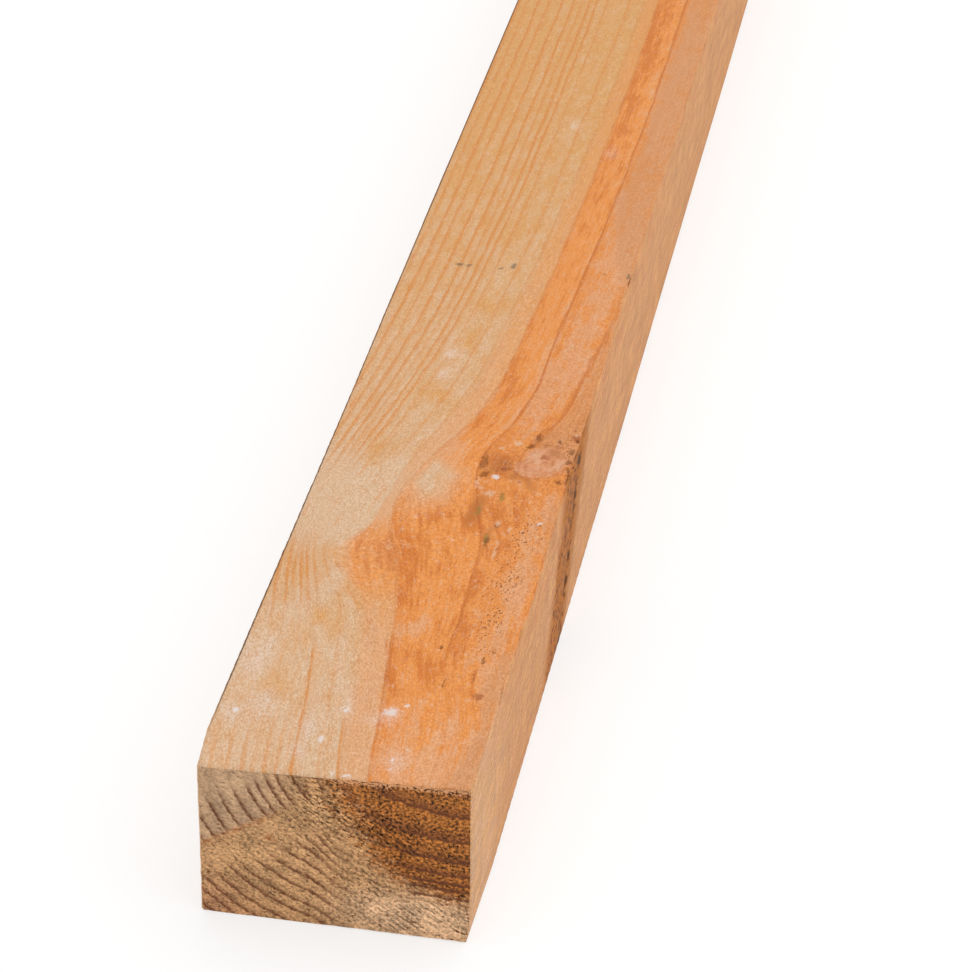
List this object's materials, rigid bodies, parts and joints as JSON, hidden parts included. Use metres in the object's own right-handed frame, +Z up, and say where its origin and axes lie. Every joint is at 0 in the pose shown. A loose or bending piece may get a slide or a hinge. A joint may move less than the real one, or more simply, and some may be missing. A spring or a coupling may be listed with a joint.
{
  "type": "sawn timber plank",
  "caption": "Rough-sawn softwood plank of near 3:2 rectangular section with a knot by one edge, raw stock for framing, rails and battens.",
  "frame": {"origin": "centre of the underside, midway along the length", "axes": "+Y along the length, away from the near end; +X across the width towards the side with the spike knot; +Z up through the thickness"},
  "size_m": [0.075, 1.8, 0.0508],
  "materials": {
    "sawn_softwood": "matte"
  },
  "bodies": {
    "root": {"plank": "sawn_softwood"}
  },
  "joints": []
}
